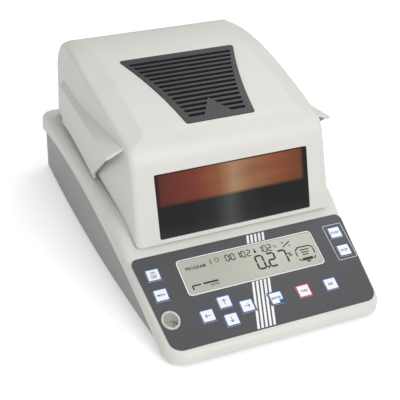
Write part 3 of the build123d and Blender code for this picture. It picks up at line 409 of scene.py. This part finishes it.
def strips(name, bars, finish):
    """Printed strips: each is across, up, width, height in mm, and a turn in degrees."""
    bpy.ops.object.select_all(action="DESELECT")
    bpy.ops.mesh.primitive_plane_add(size=1)
    piece = bpy.context.object
    piece.name = name
    bpy.ops.object.mode_set(mode="EDIT")
    bpy.ops.mesh.select_all(action="SELECT")
    bpy.ops.mesh.delete(type="VERT")
    for across, up, width, height, turned in bars:
        spot = (across * MM, up * MM, 0)
        bpy.ops.mesh.primitive_plane_add(size=1, location=spot)
        bpy.ops.transform.resize(value=(width * MM, height * MM, 1), center_override=spot)
        if turned:
            bpy.ops.transform.rotate(value=-math.radians(turned), orient_axis="Z", center_override=spot)
    bpy.ops.object.mode_set(mode="OBJECT")
    raise_ink()
    piece.data.materials.append(finish)
    return piece


def rounded_outline(name, centre, width, height, corner, line, finish):
    """A printed line around a rounded rectangle."""
    bpy.ops.object.select_all(action="DESELECT")
    bpy.ops.mesh.primitive_plane_add(size=1)
    piece = bpy.context.object
    piece.name = name
    bpy.ops.object.mode_set(mode="EDIT")
    bpy.ops.transform.resize(value=(width * MM, height * MM, 1))
    bpy.ops.mesh.bevel(offset=corner * MM, segments=6, affect="VERTICES")
    bpy.ops.mesh.inset(thickness=line * MM)
    bpy.ops.mesh.delete(type="FACE")
    bpy.ops.mesh.select_all(action="SELECT")
    bpy.ops.transform.translate(value=(centre[0] * MM, centre[1] * MM, 0))
    bpy.ops.object.mode_set(mode="OBJECT")
    raise_ink()
    piece.data.materials.append(finish)
    return piece


print("ink film", INK, "mm thick")

# %% [markdown]
# Letters start as a text object, which is made a mesh and squeezed to the thickness of the ink.
# The parts of one print are joined, tilted onto the panel and given the body that carries them.

# %% Lettering and placing
LETTER_DEPTH = 0.001
LETTER_WEIGHT = 0.018


def lettering(name, words, centre, width, finish):
    """Printed letters of a given width in mm."""
    bpy.ops.object.select_all(action="DESELECT")
    bpy.ops.object.text_add()
    text = bpy.context.object.data
    text.body = words
    text.align_x = "CENTER"
    text.align_y = "CENTER"
    text.extrude = LETTER_DEPTH
    text.offset = LETTER_WEIGHT
    bpy.ops.object.convert(target="MESH")
    piece = bpy.context.object
    piece.name = name
    scale = width * MM / piece.dimensions.x
    middle = sum((Vector(corner) for corner in piece.bound_box), Vector()) / 8
    squeeze = Matrix.Diagonal((scale, scale, INK * MM / (2 * LETTER_DEPTH), 1))
    lift = Matrix.Translation((centre[0] * MM, centre[1] * MM, INK * MM / 2))
    piece.data.transform(lift @ squeeze @ Matrix.Translation(-middle))
    piece.data.materials.append(finish)
    return piece


def join(name, pieces):
    """Makes one piece of several prints."""
    bpy.ops.object.select_all(action="DESELECT")
    for piece in pieces:
        piece.select_set(True)
    bpy.context.view_layer.objects.active = pieces[0]
    if len(pieces) > 1:
        bpy.ops.object.join()
    pieces[0].name = name
    return pieces[0]


def print_on(piece, height, body):
    """Lays a flat print on the panel, height mm above its face."""
    piece.data.transform(on_panel @ Matrix.Translation((0, 0, height * MM)))
    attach(piece, body)


print("letters are weighted by", LETTER_WEIGHT)

# %% [markdown]
# Five white stripes run down the panel film, above and below the display. They are laid upright
# as strips and then sheared to their lean.

# %% Stripes
STRIPE_TOP = (14.5, 41.4)
STRIPE_FOOT = (-11.0, -41.4)
STRIPE_WIDTH = 2.1
STRIPE_PITCH = 3.5
DISPLAY_CENTRE = (0.6, 16.4)
DISPLAY_SIZE = (121.0, 31.5)
STRIPE_GAP = 17.3
LEAN_FROM = (-20.9, 37.5)
lean = math.degrees(math.atan2(STRIPE_TOP[0] - STRIPE_FOOT[0], STRIPE_TOP[1] - STRIPE_FOOT[1]))
gap_low = DISPLAY_CENTRE[1] - STRIPE_GAP
gap_high = DISPLAY_CENTRE[1] + STRIPE_GAP
stripe_bars = []
for low, high in ((STRIPE_FOOT[1], gap_low), (gap_high, STRIPE_TOP[1])):
    middle = (low + high) / 2
    drift = (middle - STRIPE_FOOT[1]) / (STRIPE_TOP[1] - STRIPE_FOOT[1])
    centre_x = STRIPE_FOOT[0] + drift * (STRIPE_TOP[0] - STRIPE_FOOT[0])
    for i in range(5):
        across = centre_x + (i - 2) * STRIPE_PITCH
        stripe_bars.append((across, middle, STRIPE_WIDTH, high - low, 0))
stripes = strips("panel_stripes", stripe_bars, ink_white)
for vertex in stripes.data.vertices:
    bar_middle = LEAN_FROM[0] * MM if vertex.co.y < 0 else LEAN_FROM[1] * MM
    vertex.co.x += (vertex.co.y - bar_middle) * math.tan(math.radians(lean))
print("stripes lean", round(lean, 1), "degrees")

# %% [markdown]
# The right key and the enter key lie in the way of the stripes, and a pressed key would go down
# into their ink. A boolean modifier cuts the stripes at these two holes.

# %% Stripes cut at the keys
KEY_HOLE = (13.4, 12.2)
key_holes = strips("key_holes", [(-19.0, -20.0, *KEY_HOLE, 0), (7.0, -19.8, *KEY_HOLE, 0)], ink_white)
key_holes.data.transform(Matrix.Translation((0, 0, -MM)) @ Matrix.Diagonal((1, 1, 50, 1)))
cut = stripes.modifiers.new("key_holes", "BOOLEAN")
cut.operation = "DIFFERENCE"
cut.object = key_holes
bpy.ops.object.select_all(action="DESELECT")
bpy.context.view_layer.objects.active = stripes
bpy.ops.object.modifier_apply(modifier="key_holes")
bpy.data.objects.remove(key_holes)
print_on(stripes, 0, "base")
print("stripe corners", len(stripes.data.vertices))

# %% [markdown]
# A white line runs around the display, and a thin frame groups the start and stop keys.

# %% Lines on the panel
LINE_MARGIN = 1.8
line_width = DISPLAY_SIZE[0] + LINE_MARGIN
line_height = DISPLAY_SIZE[1] + LINE_MARGIN
display_line = rounded_outline("display_line", DISPLAY_CENTRE, line_width, line_height, 3.4, 0.9, ink_white)
print_on(display_line, 0, "base")
group_line = rounded_outline("key_group_line", (83.4, 16.2), 17.6, 34.6, 0.8, 0.35, ink_white)
print_on(group_line, 0, "base")
print("lines drawn", display_line.name, group_line.name)

# %% [markdown]
# Each key cap has a printed border and a short word or an arrow. A key's entry gives its place on
# the panel, and its word or the turn of its arrow.

# %% Keys
KEY_SIZE = (12.0, 11.4)
KEY_TOP = 0.5
BORDER = 0.95
LETTER_PITCH = 1.65
ARROW = [(0, 0, 4.6, 0.5, 0), (1.5, 0.75, 2.3, 0.5, -45), (1.5, -0.75, 2.3, 0.5, 45)]
KEYS = {
    "key_on_off": ((-82.0, 25.4), "ON/OFF"),
    "key_menu": ((-82.0, 6.8), "MENU"),
    "key_up": ((-35.6, -12.0), 90),
    "key_left": ((-53.0, -20.0), 180),
    "key_right": ((-19.0, -20.0), 0),
    "key_down": ((-35.6, -28.0), 270),
    "key_enter": ((7.0, -19.8), "ENTER"),
    "key_tare": ((32.0, -19.8), "TARE"),
    "key_escape": ((57.0, -19.8), "ESC"),
    "key_start": ((83.3, 25.2), "START"),
    "key_stop": ((83.3, 7.2), "STOP"),
}
print("keys", len(KEYS))

# %% [markdown]
# Border and legend are one piece that rides on its key, so that they go down with it when it is
# pressed.


# %% Key prints
def arrow_bars(place, turned):
    """An arrow's three strokes, turned about the middle of its key."""
    bars = []
    for across, up, width, height, own in ARROW:
        spot = Matrix.Rotation(math.radians(turned), 2) @ Vector((across, up))
        bars.append((place[0] + spot.x, place[1] + spot.y, width, height, own + turned))
    return bars


for name, (place, legend) in KEYS.items():
    border_ink = ink_red if name == "key_tare" else ink_blue
    word_ink = ink_wine if name == "key_tare" else ink_dark
    parts = [rounded_outline(name + "_border", place, KEY_SIZE[0], KEY_SIZE[1], 0.7, BORDER, border_ink)]
    if legend == "ON/OFF":
        parts.append(lettering("on", "ON", (place[0], place[1] + 2.0), 3.4, word_ink))
        parts.append(lettering("off", "OFF", (place[0], place[1] - 2.0), 4.6, word_ink))
        parts.append(strips("rule", [(place[0], place[1], 5.6, 0.3, 0)], word_ink))
    elif isinstance(legend, str):
        parts.append(lettering("word", legend, place, LETTER_PITCH * len(legend), word_ink))
    else:
        parts.append(strips("arrow", arrow_bars(place, legend), word_ink))
    if name == "key_enter":
        parts.append(strips("corner", [(place[0] + 3.6, place[1] - 3.6, 4.2, 3.2, 0)], ink_blue))
    print_on(join(name + "_print", parts), KEY_TOP, name)
print("prints lie", KEY_TOP, "mm above the film")

# %% [markdown]
# The display is a liquid crystal cell. Its figures are made of straight segments, up to seven to
# a figure, and each segment is a strip with its place in a box of one by two.

# %% Segments
SEGMENTS = {"0": "abcdef", "1": "bc", "2": "abged", "7": "abc"}
SEGMENT_PLACES = {
    "a": (0, 1, 0), "b": (0.5, 0.5, 90), "c": (0.5, -0.5, 90), "d": (0, -1, 0),
    "e": (-0.5, -0.5, 90), "f": (-0.5, 0.5, 90), "g": (0, 0, 0),
}
FIGURE_WIDTH = 0.52
LEVEL_BAR = 0.86
UPRIGHT_BAR = 0.88
POINT_SIZE = 1.2


def figure_bars(text, left, middle, height, stroke, pitch):
    """Bars of a row of segment figures, with points and colons in the gaps between them."""
    bars = []
    width = height * FIGURE_WIDTH
    across = left
    for letter in text:
        if letter in ".:":
            for up in ((-0.48,) if letter == "." else (-0.22, 0.22)):
                point = stroke * POINT_SIZE
                bars.append((across - (pitch - width) / 2, middle + up * height, point, point, 0))
            continue
        for segment in SEGMENTS[letter]:
            dx, dy, turned = SEGMENT_PLACES[segment]
            length = width * LEVEL_BAR if turned == 0 else height * 0.5 * UPRIGHT_BAR
            bars.append((across + width / 2 + dx * width, middle + dy * height / 2, length, stroke, turned))
        across += pitch
    return bars


print("figures known", "".join(SEGMENTS))

# %% [markdown]
# Dark shapes lie just above the grey-green cell: the running time, the temperature, the moisture
# in large figures, a small chart and a pictogram of the chamber, with two short words.

# %% Display figures
small = figure_bars("0:01:02", -19.0, 25.4, 5.6, 0.85, 4.8)
small += figure_bars("102", 10.9, 25.8, 5.8, 0.85, 4.3)
small += figure_bars("1", -35.0, 25.4, 5.0, 0.85, 4.0)
large = figure_bars("0.27", 4.9, 14.6, 12.2, 1.6, 10.5)
CHART = [
    (-54.9, 6.2, 1.2, 3.8, 0), (-51.2, 8.1, 7.4, 1.2, 0), (-39.0, 8.1, 13.0, 1.5, 0),
    (36.4, 25.4, 8.6, 0.9, 28), (33.6, 27.4, 1.5, 1.3, 0), (38.6, 23.6, 1.8, 0.9, -35),
    (7.4, 25.0, 2.0, 2.0, 0), (7.4, 27.0, 0.9, 2.4, 0),
]
CHAMBER_SIGN = [
    (49.4, 19.6, 11.0, 1.1, 0), (42.6, 18.2, 4.0, 1.1, 38), (56.4, 18.2, 4.0, 1.1, -38),
    (41.2, 13.8, 1.1, 4.6, 0), (57.4, 13.8, 1.1, 4.6, 0), (49.4, 16.7, 8.0, 1.0, 0),
    (49.2, 14.3, 6.8, 1.0, 0), (49.0, 12.1, 5.6, 1.0, 0), (49.0, 7.8, 9.6, 2.5, 0),
    (42.4, 7.8, 3.2, 1.1, -45), (55.8, 7.8, 3.2, 1.1, 45), (49.0, 5.4, 3.4, 1.4, 0),
]
display_parts = [strips("figures", small + large + CHART + CHAMBER_SIGN, ink_display)]
display_parts.append(lettering("unit_percent", "%", (35.6, 15.4), 3.6, ink_display))
display_parts.append(lettering("unit_degree", "°C", (26.0, 25.6), 3.4, ink_display))
display_parts.append(lettering("word_program", "PROGRAM", (-46.2, 23.8), 17.5, ink_display))
display_parts.append(lettering("word_auto", "AUTO", (-36.4, 5.4), 7.4, ink_display))
display_parts.append(rounded_outline("clock", (-26.8, 26.2), 3.8, 3.8, 1.8, 0.55, ink_display))
figures = join("display_figures", display_parts)
print_on(figures, -0.15, "base")
print("display bars", len(small) + len(large))

# %% [markdown]
# The spirit level is a glass vial in a metal cup. A black ring is printed on the vial, and the
# bubble floats under it.

# %% Spirit level
RING_RADIUS = 2.3
RING_LINE = 0.16
BUBBLE_RADIUS = 1.7
BUBBLE_PLACE = (0.3, 0.2, -0.9)
BUBBLE_FLATNESS = 0.45
vial_low, vial_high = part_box("level_vial")
vial_middle = Vector(((vial_low[0] + vial_high[0]) / 2, (vial_low[1] + vial_high[1]) / 2, vial_high[2]))
bpy.ops.object.select_all(action="DESELECT")
bpy.ops.mesh.primitive_torus_add(
    major_segments=48, minor_segments=8, major_radius=RING_RADIUS * MM, minor_radius=RING_LINE * MM,
)
ring = bpy.context.object
ring.name = "level_ring"
ring.data.transform(Matrix.Translation(vial_middle))
ring.data.materials.append(ink_dark)
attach(ring, "base")
bpy.ops.object.select_all(action="DESELECT")
bpy.ops.mesh.primitive_uv_sphere_add(segments=24, ring_count=12, radius=BUBBLE_RADIUS * MM)
bubble = bpy.context.object
bubble.name = "level_bubble"
bubble_place = Matrix.Translation(vial_middle + Vector(BUBBLE_PLACE) * MM)
bubble.data.transform(bubble_place @ Matrix.Diagonal((1, 1, BUBBLE_FLATNESS, 1)))
bubble.data.materials.append(clear("bubble_glass", srgb(250, 250, 240), 0.05, 0.6, ior=1.1))
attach(bubble, "base")
print("level at", [round(v, 4) for v in vial_middle])

# %% [markdown]
# The object stands on a plain white floor. Seen by the camera, floor and world are lifted to the
# white of paper, and the soft shadow stays.

# %% Floor
FLOOR_GLOW = 0.36


def add_camera_light(nodes, links, amount):
    """A number that is there for the camera's rays only."""
    rays = nodes.new("ShaderNodeLightPath")
    lift = nodes.new("ShaderNodeMath")
    lift.operation = "MULTIPLY"
    lift.inputs[1].default_value = amount
    links.new(rays.outputs["Is Camera Ray"], lift.inputs[0])
    return lift.outputs["Value"]


bpy.ops.object.select_all(action="DESELECT")
bpy.ops.mesh.primitive_plane_add(size=8)
floor = bpy.context.object
floor.name = "floor"
paper = grained("floor_white", srgb(246, 246, 248), 0.9, bump=0.0, drift=0.005)
paper_surface = paper.node_tree.nodes["Principled BSDF"]
paper_surface.inputs["Emission Color"].default_value = (1, 1, 1, 1)
glow = add_camera_light(paper.node_tree.nodes, paper.node_tree.links, FLOOR_GLOW)
paper.node_tree.links.new(glow, paper_surface.inputs["Emission Strength"])
floor.data.materials.append(paper)
print("floor of", round(floor.dimensions.x, 1), "m")

# %% [markdown]
# A large soft lamp stands in front, one behind on the right, and a weak one on the left, so that
# the object's left side lies in a light shade. The world fills the shade.


# %% Lamps and world
def soft_lamp(name, place, size, power):
    """A square soft lamp, turned to the object."""
    bpy.ops.object.light_add(type="AREA", location=place)
    lamp = bpy.context.object
    lamp.name = name
    lamp.data.size = size
    lamp.data.energy = power
    aim = Vector((0, 0, 0.06)) - Vector(place)
    lamp.rotation_euler = aim.to_track_quat("-Z", "Y").to_euler()


soft_lamp("front_lamp", (0.35, -1.5, 1.1), 0.9, 14)
soft_lamp("back_lamp", (0.75, 0.5, 1.3), 0.9, 6)
soft_lamp("left_lamp", (-1.5, -0.5, 0.7), 0.9, 4)
world = bpy.data.worlds.new("studio")
scene.world = world
world.use_nodes = True
sky = world.node_tree.nodes["Background"]
sky.inputs["Color"].default_value = (1, 1, 1, 1)
WORLD_LIGHT = 0.5
lift = add_camera_light(world.node_tree.nodes, world.node_tree.links, 1 - WORLD_LIGHT)
total = world.node_tree.nodes.new("ShaderNodeMath")
total.inputs[1].default_value = WORLD_LIGHT
world.node_tree.links.new(lift, total.inputs[0])
world.node_tree.links.new(total.outputs["Value"], sky.inputs["Strength"])
